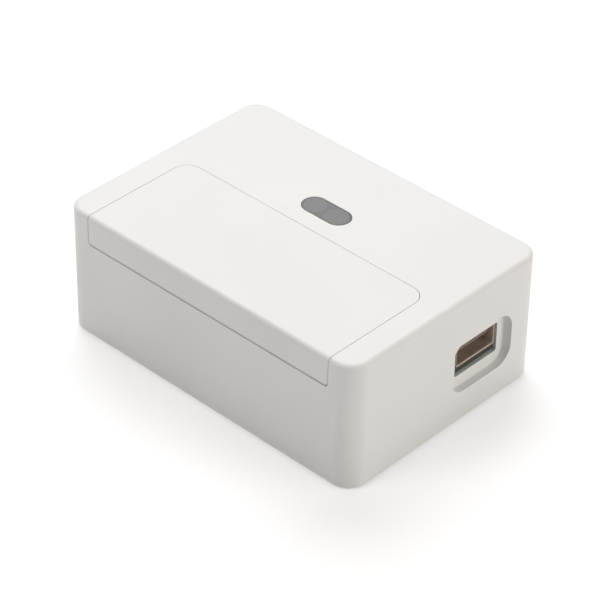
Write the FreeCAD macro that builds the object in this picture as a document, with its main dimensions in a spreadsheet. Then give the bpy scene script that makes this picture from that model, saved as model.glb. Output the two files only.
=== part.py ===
import FreeCAD, Part
import Sketcher
import os
import re

# Lidar presence sensor: a white moulded box on rubber feet, with its window facing up.
# Millimetres. +X is the long way, towards the port, -Y is the front, where the cover wraps
# over the edge, and +Z is up. The origin is under the middle, on the surface it stands on.

doc = FreeCAD.newDocument("presence_sensor")
sheet = doc.addObject("Spreadsheet::Sheet", "Sizes")

# Driving dimensions
SIZES = {
    # Case
    "case_length": 90.0,
    "case_width": 63.0,
    "corner_radius": 5.0,
    "top_edge_radius": 1.2,
    "base_edge_radius": 0.4,
    "wall": 2.0,
    "roof": 2.0,
    "rim_wall": 1.0,
    "thin_wall": 1.2,
    # Cover
    "cover_left_edge": 7.8,
    "cover_right_edge": 7.2,
    "cover_drop": 7.7,
    "cover_plate": 1.8,
    "lip_plate": 1.5,
    "cover_corner_radius": 4.0,
    "lip_corner_radius": 1.2,
    "lip_root_radius": 0.3,
    "seam": 0.15,
    "lip_gap": 0.25,
    "seat_gap": 0.1,
    "ledge_width": 1.2,
    "seat_wall": 1.0,
    "tab_length": 10.0,
    "tab_plate": 1.0,
    "tab_reach": 1.6,
    "tab_root": 2.0,
    "tab_inset": 4.6,
    "tab_gap": 0.2,
    "rib_width": 1.0,
    "cover_rib_count": 3.0,
    # Cells and their well
    "cell_diameter": 14.2,
    "cell_length": 50.5,
    "cell_nub_diameter": 5.5,
    "cell_nub_height": 1.0,
    "cell_edge": 0.5,
    "cell_gap": 0.05,
    "cell_side_gap": 0.24,
    "cell_headroom": 0.35,
    "coil_room": 5.15,
    "well_floor_plate": 1.2,
    "well_room": 1.95,
    "bay_depth": 8.4,
    "bay_floor_plate": 1.4,
    "contact_plate": 0.4,
    "contact_width": 9.0,
    "contact_height": 9.6,
    "dimple_radius": 2.0,
    "dimple_height": 0.5,
    "tail_width": 2.5,
    "tail_gap": 0.2,
    "coil_wire_radius": 0.35,
    "coil_base_radius": 4.0,
    "coil_tip_radius": 2.6,
    "coil_half_turns": 6.0,
    # Port
    "port_back": 19.4,
    "port_height": 15.0,
    "recess_length": 20.4,
    "recess_height": 14.2,
    "recess_depth": 2.15,
    "recess_radius": 4.5,
    "recess_floor_radius": 0.4,
    "mouth_radius": 0.6,
    "mouth_side": 0.65,
    "mouth_roof": 0.1,
    "mouth_drop": 0.65,
    "port_wall": 1.25,
    "shell_shift": 0.4,
    "shell_rise": 0.95,
    "shell_length": 14.0,
    "shell_width": 13.1,
    "shell_height": 5.7,
    "shell_plate": 0.3,
    "shell_radius": 0.6,
    "shell_lead": 0.15,
    "shell_set": 0.25,
    "shell_gap": 0.05,
    "tongue_width": 11.1,
    "tongue_plate": 1.84,
    "tongue_drop": 0.6,
    "tongue_set": 1.3,
    "insulator_length": 3.5,
    "pin_width": 1.0,
    "pin_plate": 0.2,
    "pin_length": 8.0,
    "pin_inner": 1.0,
    "pin_outer": 3.5,
    # Window and lidar stack
    "window_x": 0.0,
    "window_length": 13.8,
    "window_width": 6.5,
    "window_gap": 0.12,
    "window_set": 0.06,
    "flange_edge": 1.6,
    "flange_plate": 0.8,
    "gasket_plate": 1.0,
    "gasket_edge": 0.6,
    "module_length": 14.4,
    "module_width": 7.4,
    "module_height": 5.0,
    "module_corner_radius": 0.5,
    "emitter_x": -3.7,
    "emitter_radius": 1.6,
    "receiver_x": 3.0,
    "receiver_radius": 2.3,
    "lens_gap": 0.1,
    "lens_depth": 1.8,
    "lens_dome": 0.6,
    "light_well": 2.6,
    "lidar_board_length": 30.0,
    "lidar_board_width": 13.6,
    "lidar_board_plate": 1.2,
    "lidar_board_shift": 0.9,
    "lidar_board_gap": 0.8,
    "lidar_post_x": 12.2,
    "lidar_post_radius": 2.1,
    # Boards
    "board_end_gap": 2.0,
    "board_port_gap": 1.0,
    "nose_gap": 0.4,
    "nose_set": 0.3,
    "board_side_gap": 1.5,
    "board_plate": 1.6,
    "board_notch_gap": 0.3,
    "board_post_end": 14.0,
    "board_post_side": 3.6,
    "board_post_radius": 2.75,
    "post_rib_rise": 6.0,
    # Parts on the main board
    "radio_end": 1.0,
    "radio_gap": 0.2,
    "radio_length": 25.5,
    "radio_width": 18.0,
    "radio_plate": 0.8,
    "shield_length": 17.0,
    "shield_width": 15.8,
    "shield_height": 1.9,
    "shield_radius": 0.6,
    "processor_x": -6.0,
    "processor_back": 8.3,
    "processor_side": 7.0,
    "processor_height": 0.9,
    "inductor_x": 11.0,
    "inductor_back": 7.3,
    "inductor_side": 6.3,
    "inductor_height": 2.8,
    "inductor_radius": 1.2,
    "regulator_x": 11.0,
    "regulator_back": 15.8,
    "regulator_length": 5.0,
    "regulator_width": 4.0,
    "regulator_height": 1.5,
    "capacitor_x": 20.5,
    "capacitor_back": 11.3,
    "capacitor_pitch": 8.0,
    "capacitor_radius": 3.15,
    "capacitor_height": 5.8,
    "capacitor_edge": 0.5,
    # Ribbon
    "ribbon_width": 6.0,
    "ribbon_plate": 0.3,
    "ribbon_bend": 2.5,
    "ribbon_run": 3.0,
    "socket_length": 8.0,
    "socket_depth": 3.2,
    "lower_socket_height": 4.0,
    "upper_socket_height": 1.6,
    # Setup button
    "button_front": 12.5,
    "button_radius": 2.8,
    "button_gap": 0.2,
    "button_rise": 1.4,
    "button_edge_radius": 0.5,
    "button_flange_radius": 3.8,
    "button_flange": 0.7,
    "button_stem_radius": 1.6,
    "switch_side": 6.0,
    "switch_height": 3.4,
    "plunger_radius": 1.7,
    "plunger_rise": 0.7,
    "plunger_room": 0.4,
    "plunger_depth": 1.6,
    "plunger_gap": 0.1,
    # Base
    "base_plate": 2.0,
    "base_gap": 0.1,
    "base_lip_width": 1.0,
    "base_lip_height": 1.0,
    "base_lip_gap": 0.15,
    "base_rib_rise": 1.6,
    "base_rib_pitch": 12.0,
    "base_rib_end": 7.0,
    "foot_radius": 4.5,
    "foot_height": 1.4,
    "foot_stand": 0.4,
    "foot_gap": 0.1,
    "foot_end": 16.0,
    "foot_side": 10.5,
    "foot_edge": 0.3,
    # Bosses and screws
    "boss_inset": 5.0,
    "boss_radius": 3.25,
    "boss_rise": 16.4,
    "collar_radius": 2.8,
    "collar_height": 1.2,
    "screw_gap": 0.02,
    "hole_gap": 0.15,
    "case_screw_radius": 1.2,
    "case_screw_length": 8.0,
    "case_head_radius": 2.2,
    "case_head_height": 1.3,
    "case_head_set": 0.3,
    "board_screw_radius": 0.95,
    "board_screw_length": 4.0,
    "board_head_radius": 1.9,
    "board_head_height": 1.2,
    "lidar_screw_radius": 0.8,
    "lidar_screw_length": 4.5,
    "lidar_head_radius": 1.5,
    "lidar_head_height": 1.0,
    "cross_width": 0.5,
    "cross_share": 1.2,
    "cross_depth": 0.6,
    "pilot_spare": 0.5,
}

# Places worked out from the sizes
PLACES = {
    # Along the length
    "right_end": "case_length / 2",
    "cover_left": "cover_left_edge - right_end",
    "cover_right": "right_end - cover_right_edge",
    "cover_length": "cover_right - cover_left",
    "cover_middle": "(cover_left + cover_right) / 2",
    "well_left": "cover_left - seam + ledge_width",
    "cell_room": "contact_plate + dimple_height + cell_gap",
    "well_length": "cell_length + cell_room + coil_room + contact_plate",
    "well_right": "well_left + well_length",
    "bay_left": "well_right + thin_wall",
    "bay_right": "cover_right + seam - ledge_width",
    "block_left": "cover_left - seam - thin_wall",
    "block_right": "cover_right + seam + thin_wall",
    "coil_height": "coil_room - 2 * coil_wire_radius - 2 * cell_gap",
    "button_x": "(bay_left + bay_right) / 2",
    "port_face": "right_end - recess_depth",
    "port_inner": "port_face - port_wall",
    "shell_mouth": "port_face - shell_set",
    "shell_back": "shell_mouth - shell_length",
    "board_left": "wall + board_end_gap - right_end",
    "board_right": "port_inner - board_port_gap",
    "nose_length": "shell_mouth - nose_set - board_right",
    "board_post_x": "right_end - board_post_end",
    "boss_x": "right_end - boss_inset",
    "foot_x": "right_end - foot_end",
    "radio_x": "board_left + radio_end",
    # From front to back
    "back": "case_width / 2",
    "front": "-case_width / 2",
    "cell_radius": "cell_diameter / 2",
    "cradle_radius": "cell_radius + cell_side_gap",
    "seat_front": "front + lip_plate + seam",
    "well_front": "seat_front + seat_wall",
    "well_width": "4 * cradle_radius",
    "front_cell_y": "well_front + cradle_radius",
    "rear_cell_y": "well_front + 3 * cradle_radius",
    "aperture_back": "well_front + well_width",
    "cover_back": "aperture_back - seam",
    "cover_reach": "cover_back - front",
    "block_back": "aperture_back + thin_wall",
    "lidar_board_y": "block_back + lidar_board_gap + lidar_board_width / 2",
    "window_y": "lidar_board_y - lidar_board_shift",
    "port_y": "back - port_back",
    "shell_y": "port_y + shell_shift",
    "mouth_length": "shell_width + 2 * mouth_side",
    "nose_width": "mouth_length - 2 * nose_gap",
    "board_width": "case_width - 2 * wall - 2 * board_side_gap",
    "board_post_y": "board_width / 2 - board_post_side",
    "boss_y": "back - boss_inset",
    "foot_y": "back - foot_side",
    "radio_y": "board_post_y - board_post_radius - radio_gap - radio_width",
    "button_y": "aperture_back - button_front",
    "upper_socket_back": "lidar_board_y + lidar_board_width / 2 - socket_depth / 8",
    "ribbon_y": "upper_socket_back + ribbon_run + ribbon_bend",
    # From the bottom up
    "case_bottom": "foot_stand",
    "base_inside": "case_bottom + base_plate",
    "boss_under": "base_inside + collar_height",
    "port_z": "case_bottom + port_height",
    "shell_z": "port_z + shell_rise",
    "shell_top": "shell_z + shell_height / 2",
    "tongue_top": "shell_top - shell_plate - tongue_drop",
    "tongue_under": "tongue_top - tongue_plate",
    "board_top": "shell_z - shell_height / 2 - shell_gap",
    "board_under": "board_top - board_plate",
    "mouth_top": "shell_top + mouth_roof",
    "mouth_height": "mouth_top - board_under + mouth_drop",
    "switch_top": "board_top + switch_height",
    "plunger_top": "switch_top + plunger_rise",
    "well_under": "board_top + well_room",
    "cradle_z": "well_under + well_floor_plate + cradle_radius",
    "cell_z": "cradle_z - cradle_radius + cell_gap + cell_radius",
    "tab_under": "cell_z + cell_radius + cell_headroom",
    "tab_top": "tab_under + tab_plate",
    "seat_top": "tab_under - 1.5 * tab_gap",
    "roof_under": "tab_top + tab_gap",
    "case_top": "roof_under + roof",
    "case_height": "case_top - case_bottom",
    "lip_bottom": "case_top - cover_drop",
    "plate_under": "case_top - cover_plate",
    "ledge_top": "plate_under - seat_gap",
    "bay_floor": "case_top - bay_depth",
    "bay_under": "bay_floor - bay_floor_plate",
    "flange_top": "bay_under - button_gap",
    "gasket_under": "roof_under - gasket_plate",
    "lidar_board_top": "gasket_under - module_height",
    "lidar_board_under": "lidar_board_top - lidar_board_plate",
    "ribbon_z": "lidar_board_under - upper_socket_height / 2",
    "lower_socket_top": "board_top + lower_socket_height",
}

for row, (name, number) in enumerate(SIZES.items(), 1):
    sheet.set(f"A{row}", name)
    sheet.set(f"B{row}", str(number))
    sheet.setAlias(f"B{row}", name)
doc.recompute()

NODES = {}
ANYWHERE = (-1000.0, 1000.0)
TOUCH = 0.001


def formula(text):
    """Write size and place names out as cells of the sheet."""
    def cell(match):
        word = match.group(0)
        if word in PLACES:
            return "(" + formula(PLACES[word]) + ")"
        if word in SIZES:
            return "Sizes." + word
        return word
    return re.sub(r"[a-z_]+", cell, str(text))


def amount(text):
    """The number that a formula gives now."""
    return float(sheet.evalExpression(formula(text)))


def bind(item, **formulas):
    for name, text in formulas.items():
        item.setExpression(name, formula(text))


def edges_within(shape, x=ANYWHERE, y=ANYWHERE, z=ANYWHERE):
    """Names of the edges that lie wholly between the limits given."""
    names = []
    for number, edge in enumerate(shape.Edges, 1):
        box = edge.optimalBoundingBox(False)
        spans = ((box.XMin, box.XMax, x), (box.YMin, box.YMax, y), (box.ZMin, box.ZMax, z))
        if all(low > limit[0] - TOUCH and high < limit[1] + TOUCH for low, high, limit in spans):
            names.append(f"Edge{number}")
    return names


def at(text):
    """A pair of limits that only the plane at this place meets."""
    return (amount(text), amount(text))


def node(item, label):
    """Name a finished sub-part after its file."""
    item.Label = label
    NODES[label] = item
    return item


class Moulding:
    """One body made of features, each placed and sized by formulas."""

    def __init__(self, label):
        self.body = doc.addObject("PartDesign::Body", label)
        node(self.body, label)

    def attach(self, item, plane, place):
        origin = [part for part in self.body.Origin.OriginFeatures if part.Role == plane]
        item.AttachmentSupport = (origin[0], [""])
        item.MapMode = "FlatFace"
        x, y, z = place
        local = {"XY_Plane": (x, y, z), "XZ_Plane": (x, z, f"-({y})"), "YZ_Plane": (y, z, x)}
        for letter, text in zip("xyz", local[plane]):
            item.setExpression("AttachmentOffset.Base." + letter, formula(text))

    def block(self, name, low, size, cut=False):
        kind = "PartDesign::SubtractiveBox" if cut else "PartDesign::AdditiveBox"
        item = self.body.newObject(kind, name)
        self.attach(item, "XY_Plane", low)
        bind(item, Length=size[0], Width=size[1], Height=size[2])
        return item

    def rod(self, name, foot, radius, height, cut=False, plane="XY_Plane"):
        kind = "PartDesign::SubtractiveCylinder" if cut else "PartDesign::AdditiveCylinder"
        item = self.body.newObject(kind, name)
        self.attach(item, plane, foot)
        bind(item, Radius=radius, Height=height)
        return item

    def sketch(self, name, plane, centre, shapes, constraints, sizes):
        """A closed profile round its own origin, with its sizes bound by name."""
        item = self.body.newObject("Sketcher::SketchObject", name)
        self.attach(item, plane, centre)
        item.addGeometry(shapes, False)
        item.addConstraint([Sketcher.Constraint(*constraint) for constraint in constraints])
        for label, text, *constraint in sizes:
            index = item.addConstraint(Sketcher.Constraint(*constraint, amount(text)))
            item.renameConstraint(index, label)
            item.setExpression("Constraints." + label, formula(text))
        return item

    def rounded(self, name, plane, centre, length, width, radius):
        """A rectangle with round corners."""
        half_length = amount(length) / 2
        half_width = amount(width) / 2
        round_off = amount(radius)
        flat_x = half_length - round_off
        flat_y = half_width - round_off
        corners = [(flat_x, -flat_y), (flat_x, flat_y), (-flat_x, flat_y), (-flat_x, -flat_y)]
        ends = [
            ((-flat_x, -half_width), (flat_x, -half_width)),
            ((half_length, -flat_y), (half_length, flat_y)),
            ((flat_x, half_width), (-flat_x, half_width)),
            ((-half_length, flat_y), (-half_length, -flat_y)),
        ]
        shapes = []
        for turn, (corner, (start, end)) in enumerate(zip(corners, ends)):
            shapes.append(Part.LineSegment(FreeCAD.Vector(*start, 0), FreeCAD.Vector(*end, 0)))
            shapes.append(arc(corner, round_off, 90 * turn - 90, 90 * turn))
        tangents = [("Tangent", side, 2, (side + 1) % 8, 1) for side in range(8)]
        square = [("Horizontal", 0), ("Vertical", 2), ("Horizontal", 4), ("Vertical", 6)]
        equal = [("Equal", 1, 3), ("Equal", 1, 5), ("Equal", 1, 7)]
        sizes = [
            ("length", length, "DistanceX", 6, 1, 2, 1),
            ("width", width, "DistanceY", 0, 1, 4, 1),
            ("radius", radius, "Radius", 1),
            ("half_length", f"({length}) / 2", "DistanceX", -1, 1, 2, 1),
            ("half_width", f"({width}) / 2", "DistanceY", -1, 1, 4, 1),
        ]
        return self.sketch(name, plane, centre, shapes, tangents + square + equal, sizes)

    def circles(self, name, plane, place, centres, radius):
        """Equal circles at several places on one plane."""
        shapes = []
        equal = []
        sizes = [("radius", radius, "Radius", 0)]
        for number, (x, y) in enumerate(centres):
            centre = FreeCAD.Vector(amount(x), amount(y), 0)
            shapes.append(Part.Circle(centre, FreeCAD.Vector(0, 0, 1), amount(radius)))
            sizes.append((f"x_{number}", x, "DistanceX", -1, 1, number, 3))
            sizes.append((f"y_{number}", y, "DistanceY", -1, 1, number, 3))
            if number:
                equal.append(("Equal", 0, number))
        return self.sketch(name, plane, place, shapes, equal, sizes)

    def rectangles(self, name, plane, place, outlines):
        """Rectangles on one plane, each given by its low corner and its two sides."""
        shapes = []
        joins = []
        sizes = []
        for number, (x, y, length, width) in enumerate(outlines):
            first = len(shapes)
            left = amount(x)
            low = amount(y)
            right = left + amount(length)
            high = low + amount(width)
            corners = [(left, low), (right, low), (right, high), (left, high)]
            for side in range(4):
                start = FreeCAD.Vector(*corners[side], 0)
                end = FreeCAD.Vector(*corners[(side + 1) % 4], 0)
                shapes.append(Part.LineSegment(start, end))
                joins.append(("Coincident", first + side, 2, first + (side + 1) % 4, 1))
                joins.append(("Vertical" if side % 2 else "Horizontal", first + side))
            sizes.append((f"x_{number}", x, "DistanceX", -1, 1, first, 1))
            sizes.append((f"y_{number}", y, "DistanceY", -1, 1, first, 1))
            sizes.append((f"length_{number}", length, "DistanceX", first, 1, first, 2))
            sizes.append((f"width_{number}", width, "DistanceY", first + 1, 1, first + 1, 2))
        return self.sketch(name, plane, place, shapes, joins, sizes)

    def stadium(self, name, plane, centre, length, width):
        """Two straight sides joined by half circles."""
        radius = amount(width) / 2
        reach = amount(length) / 2 - radius
        shapes = [
            Part.LineSegment(FreeCAD.Vector(-reach, -radius, 0), FreeCAD.Vector(reach, -radius, 0)),
            arc((reach, 0), radius, -90, 90),
            Part.LineSegment(FreeCAD.Vector(reach, radius, 0), FreeCAD.Vector(-reach, radius, 0)),
            arc((-reach, 0), radius, 90, 270),
        ]
        tangents = [("Tangent", side, 2, (side + 1) % 4, 1) for side in range(4)]
        level = [("Horizontal", 0), ("Equal", 1, 3), ("PointOnObject", 1, 3, -1)]
        sizes = [
            ("radius", f"({width}) / 2", "Radius", 1),
            ("reach", f"({length}) / 2 - ({width}) / 2", "DistanceX", -1, 1, 1, 3),
            ("span", f"({length}) - ({width})", "DistanceX", 3, 3, 1, 3),
        ]
        return self.sketch(name, plane, centre, shapes, tangents + level, sizes)

    def extrude(self, profile, length, cut=False, reverse=False):
        kind = "PartDesign::Pocket" if cut else "PartDesign::Pad"
        item = self.body.newObject(kind, profile.Label + (" cut" if cut else " pad"))
        item.Profile = profile
        item.Reversed = reverse
        bind(item, Length=length)
        return item

    def fillet(self, name, radius, **limits):
        item = self.edge_feature("PartDesign::Fillet", name, limits)
        bind(item, Radius=radius)

    def chamfer(self, name, size, **limits):
        item = self.edge_feature("PartDesign::Chamfer", name, limits)
        bind(item, Size=size)

    def edge_feature(self, kind, name, limits):
        """A feature on the edges of the body that lie within the limits."""
        doc.recompute()
        base = self.body.Tip
        names = edges_within(base.Shape, **limits)
        item = self.body.newObject(kind, name)
        item.Base = (base, names)
        return item


def arc(centre, radius, start, end):
    """A circle's arc between two angles in degrees."""
    circle = Part.Circle(FreeCAD.Vector(*centre, 0), FreeCAD.Vector(0, 0, 1), radius)
    return Part.ArcOfCircle(circle, FreeCAD.Units.Quantity(start, "deg").getValueAs("rad").Value,
                            FreeCAD.Units.Quantity(end, "deg").getValueAs("rad").Value)


def box(name, low, size):
    item = doc.addObject("Part::Box", name)
    bind(item, Length=size[0], Width=size[1], Height=size[2])
    bind_place(item, low)
    return item


def cylinder(name, foot, radius, height, axis=FreeCAD.Vector(0, 0, 1), angle=None):
    item = doc.addObject("Part::Cylinder", name)
    item.Placement.Rotation = FreeCAD.Rotation(FreeCAD.Vector(0, 0, 1), axis)
    bind(item, Radius=radius, Height=height)
    if angle is not None:
        item.Angle = angle
    bind_place(item, foot)
    return item


def bind_place(item, place):
    for letter, text in zip("xyz", place):
        item.setExpression("Placement.Base." + letter, formula(text))


def fuse(name, parts):
    item = doc.addObject("Part::MultiFuse", name)
    item.Shapes = parts
    item.Refine = True
    return item


def cut(name, base, tools):
    item = doc.addObject("Part::Cut", name)
    item.Base = base
    item.Tool = tools[0] if len(tools) == 1 else fuse(name + " tools", tools)
    item.Refine = True
    return item


def soften(kind, name, base, size, **limits):
    """Round or chamfer the edges of a finished solid that lie within the limits."""
    doc.recompute()
    item = doc.addObject(kind, name)
    item.Base = base
    numbers = [int(edge[4:]) for edge in edges_within(base.Shape, **limits)]
    item.Edges = [(number, amount(size), amount(size)) for number in numbers]
    return item


def group(label, parts):
    """Separate like solids that share one file."""
    item = doc.addObject("Part::Compound", label)
    item.Links = parts
    return node(item, label)


def four_corners(x, y):
    """The four places at plus and minus x and y."""
    return [(f"{side}({x})", f"{end}({y})") for side in ("-", "") for end in ("-", "")]


def screw(name, x, y, head_under, head_radius, head_height, radius, length):
    """A pan-head screw that points up, with a cross in its head."""
    head = cylinder(name + " head", (x, y, head_under), head_radius, head_height)
    shank_foot = f"{head_under} + {head_height}"
    shank = cylinder(name + " shank", (x, y, shank_foot), radius, length)
    blank = fuse(name + " blank", [head, shank])
    arm = f"{head_radius} * cross_share"
    slots = [
        box(name + " slot", (f"({x}) - {arm} / 2", f"({y}) - cross_width / 2", head_under),
            (arm, "cross_width", "cross_depth")),
        box(name + " cross slot", (f"({x}) - cross_width / 2", f"({y}) - {arm} / 2", head_under),
            ("cross_width", arm, "cross_depth")),
    ]
    return cut(name, blank, slots)


def make_upper_housing():
    """The moulded case: port recess, window aperture, cover seat, cell well, bosses and posts."""
    case = Moulding("upper_housing")
    outline = case.rounded("case outline", "XY_Plane", ("0", "0", "case_bottom"),
                           "case_length", "case_width", "corner_radius")
    case.extrude(outline, "case_height")
    case.fillet("top edge", "top_edge_radius", z=at("case_top"))
    case.fillet("base edge", "base_edge_radius", z=at("case_bottom"))
    cavity = case.rounded("cavity", "XY_Plane", ("0", "0", "case_bottom"),
                          "case_length - 2 * wall", "case_width - 2 * wall", "corner_radius - wall")
    case.extrude(cavity, "case_height - roof", cut=True, reverse=True)
    rim = case.rounded("rim step", "XY_Plane", ("0", "0", "case_bottom"),
                       "case_length - 2 * rim_wall", "case_width - 2 * rim_wall",
                       "corner_radius - rim_wall")
    case.extrude(rim, "base_plate", cut=True, reverse=True)

    # Walls of the cell well and the button bay, up into the roof
    block_width = "block_back - seat_front"
    case.block("well block", ("block_left", "seat_front", "well_under"),
               ("bay_left - block_left", block_width, "plate_under - well_under"))
    case.block("bay block", ("well_right", "seat_front", "bay_under"),
               ("block_right - well_right", block_width, "plate_under - bay_under"))

    # Boss round the port, then the posts and bosses that carry boards and screws
    case.block("port boss", ("port_inner", "port_y - recess_length / 2 - thin_wall",
                             "port_z - recess_height / 2 - thin_wall"),
               ("right_end - wall / 2 - port_inner", "recess_length + 2 * thin_wall",
                "recess_height + 2 * thin_wall"))
    bosses = case.circles("screw bosses", "XY_Plane", ("0", "0", "boss_under"),
                          four_corners("boss_x", "boss_y"), "boss_radius")
    case.extrude(bosses, "boss_rise")
    front_left, front_right, *rear_places = board_post_places()
    rear_posts = case.circles("rear board posts", "XY_Plane", ("0", "0", "board_top"), rear_places,
                              "board_post_radius")
    case.extrude(rear_posts, "roof_under - board_top + roof / 2")
    rib_places = [(f"{x} - rib_width / 2", y, "rib_width", "back - wall / 2 - board_post_y")
                  for x, y in rear_places]
    ribs = case.rectangles("rear post ribs", "XY_Plane", ("0", "0", "board_top + post_rib_rise"),
                           rib_places)
    case.extrude(ribs, "roof_under - board_top - post_rib_rise + roof / 2")
    left_post = case.circles("front left post", "XY_Plane", ("0", "0", "board_top"),
                             [front_left], "board_post_radius")
    case.extrude(left_post, "well_room + well_floor_plate / 2")
    right_post = case.circles("front right post", "XY_Plane", ("0", "0", "board_top"),
                              [front_right], "board_post_radius")
    case.extrude(right_post, "bay_under - board_top + bay_floor_plate / 2")
    lidar_posts = case.circles("lidar board posts", "XY_Plane", ("0", "0", "lidar_board_top"),
                               lidar_post_places(), "lidar_post_radius")
    case.extrude(lidar_posts, "roof_under - lidar_board_top + roof / 2")

    # Seat of the cover, open to the front
    seat_length = "cover_length + 2 * seam"
    seat = case.rounded("cover seat", "XY_Plane",
                        ("cover_middle", "aperture_back - cover_reach", "ledge_top"),
                        seat_length, "2 * cover_reach", "cover_corner_radius + seam")
    case.extrude(seat, "case_top", cut=True, reverse=True)
    lip = case.rounded("lip seat", "XZ_Plane",
                       ("cover_middle", "front", "lip_bottom - lip_gap + cover_drop"),
                       seat_length, "2 * cover_drop", "lip_corner_radius + seam")
    case.extrude(lip, "lip_plate + seam", cut=True)

    # Well for two cells, the bay beside it, and the low front and middle walls that the tabs pass over
    well = case.rectangles("well", "XY_Plane", ("0", "0", "ledge_top"),
                           [("well_left", "well_front", "well_length", "well_width")])
    case.extrude(well, "ledge_top - cradle_z", cut=True)
    cradle = case.circles("cradles", "YZ_Plane", ("well_left", "0", "0"),
                          [("front_cell_y", "cradle_z"), ("rear_cell_y", "cradle_z")], "cradle_radius")
    case.extrude(cradle, "well_length", cut=True, reverse=True)
    bay = case.rectangles("bay", "XY_Plane", ("0", "0", "ledge_top"),
                          [("bay_left", "well_front", "bay_right - bay_left", "well_width")])
    case.extrude(bay, "ledge_top - bay_floor", cut=True)
    step = case.rectangles("tab way", "XY_Plane", ("0", "0", "ledge_top"),
                           [("well_left", "seat_front - seam", "bay_right - well_left",
                             "aperture_back - seat_front + seam")])
    case.extrude(step, "ledge_top - seat_top", cut=True)
    slots = case.rectangles("tab slots", "XY_Plane", ("0", "0", "roof_under"),
                            [(f"{x} - tab_gap", "aperture_back - seam", "tab_length + 2 * tab_gap",
                              "thin_wall + 2 * seam") for x in tab_places()])
    case.extrude(slots, "roof_under - tab_under + tab_gap", cut=True)
    tails = case.rectangles("tail slots", "XY_Plane", ("0", "0", "cradle_z - cradle_radius + contact_plate"),
                            [("well_right - contact_plate - tail_gap", f"{y} - tail_width / 2 - tail_gap",
                              "contact_plate + tail_gap", "tail_width + 2 * tail_gap")
                             for y in ("front_cell_y", "rear_cell_y")])
    case.extrude(tails, "2 * well_floor_plate", cut=True)
    button_hole = case.circles("button hole", "XY_Plane", ("0", "0", "bay_floor"),
                               [("button_x", "button_y")], "button_radius + button_gap")
    case.extrude(button_hole, "2 * bay_floor_plate", cut=True)

    # Window aperture with the counterbore that takes the window's flange
    aperture = case.stadium("window aperture", "XY_Plane", ("window_x", "window_y", "case_top"),
                            "window_length", "window_width")
    case.extrude(aperture, "roof", cut=True)
    counterbore = case.stadium("window counterbore", "XY_Plane", ("window_x", "window_y", "roof_under"),
                               "window_length + 2 * flange_edge + 2 * window_gap",
                               "window_width + 2 * flange_edge + 2 * window_gap")
    case.extrude(counterbore, "flange_plate", cut=True, reverse=True)

    # Pilot holes
    boss_pilots = case.circles("boss pilots", "XY_Plane", ("0", "0", "boss_under"),
                               four_corners("boss_x", "boss_y"), "case_screw_radius + screw_gap")
    case.extrude(boss_pilots, "case_screw_length + pilot_spare", cut=True, reverse=True)
    post_pilots = case.circles("post pilots", "XY_Plane", ("0", "0", "board_top"),
                               board_post_places(),
                               "board_screw_radius + screw_gap")
    case.extrude(post_pilots, "board_screw_length - board_plate + pilot_spare", cut=True, reverse=True)
    lidar_pilots = case.circles("lidar pilots", "XY_Plane", ("0", "0", "lidar_board_top"),
                                lidar_post_places(), "lidar_screw_radius + screw_gap")
    case.extrude(lidar_pilots, "lidar_screw_length - lidar_board_plate + pilot_spare", cut=True,
                 reverse=True)

    # Port recess with its round floor edge, then the mouth through its floor
    recess = case.rounded("port recess", "YZ_Plane", ("right_end", "port_y", "port_z"),
                          "recess_length", "recess_height", "recess_radius")
    case.extrude(recess, "recess_depth", cut=True)
    case.fillet("recess floor edge", "recess_floor_radius", x=at("port_face"))
    mouth = case.rounded("port mouth", "YZ_Plane", ("port_face", "shell_y", "mouth_top - mouth_height / 2"),
                         "mouth_length", "mouth_height", "mouth_radius")
    case.extrude(mouth, "port_wall + wall", cut=True)


def board_post_places():
    """The two front posts, under the well and under the bay, then the two rear ones."""
    return [("-board_post_x", "-board_post_y"), ("button_x", "-board_post_y"),
            ("-board_post_x", "board_post_y"), ("board_post_x", "board_post_y")]


def lidar_post_places():
    return [("window_x - lidar_post_x", "lidar_board_y"), ("window_x + lidar_post_x", "lidar_board_y")]


def tab_places():
    """Where the cover's two tabs start, along the length."""
    return ("cover_left + tab_inset", "cover_right - tab_inset - tab_length")


def make_access_cover():
    """The L-shaped cover: plate, front lip, two tabs under the roof and stiffening ribs."""
    cover = Moulding("access_cover")
    cover.block("blank", ("cover_left", "front", "lip_bottom"),
                ("cover_length", "cover_reach", "cover_drop"))
    cover.block("inside", ("cover_left - wall", "front + lip_plate", "lip_bottom - wall"),
                ("cover_length + 2 * wall", "cover_reach", "cover_drop + wall - cover_plate"), cut=True)
    cover.fillet("back corners", "cover_corner_radius", y=at("cover_back"), z=(0, amount("case_top")),
                 x=at("cover_left"))
    cover.fillet("other back corner", "cover_corner_radius", y=at("cover_back"), x=at("cover_right"))
    cover.fillet("lip corner", "lip_corner_radius", z=at("lip_bottom"), x=at("cover_left"))
    cover.fillet("other lip corner", "lip_corner_radius", z=at("lip_bottom"), x=at("cover_right"))
    cover.fillet("front edge", "top_edge_radius", y=at("front"), z=at("case_top"))
    cover.fillet("lip root", "lip_root_radius", y=at("front + lip_plate"), z=at("plate_under"))
    for x in tab_places():
        cover.block("tab root", (x, "cover_back - tab_root", "tab_under"),
                    ("tab_length", "tab_root - seam", "plate_under - tab_under + cover_plate / 2"))
        cover.block("tab", (x, "cover_back - tab_root", "tab_under"),
                    ("tab_length", "tab_root + seam + tab_reach", "tab_plate"))
    rib_reach = "aperture_back - well_front - 2 * tab_root - cover_corner_radius"
    for place in range(int(SIZES["cover_rib_count"])):
        x = f"well_left + ({place + 1}) * well_length / (cover_rib_count + 1) - rib_width / 2"
        cover.block("rib", (x, "well_front + cover_corner_radius", "tab_under"),
                    ("rib_width", rib_reach, "plate_under - tab_under + cover_plate / 2"))


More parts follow.
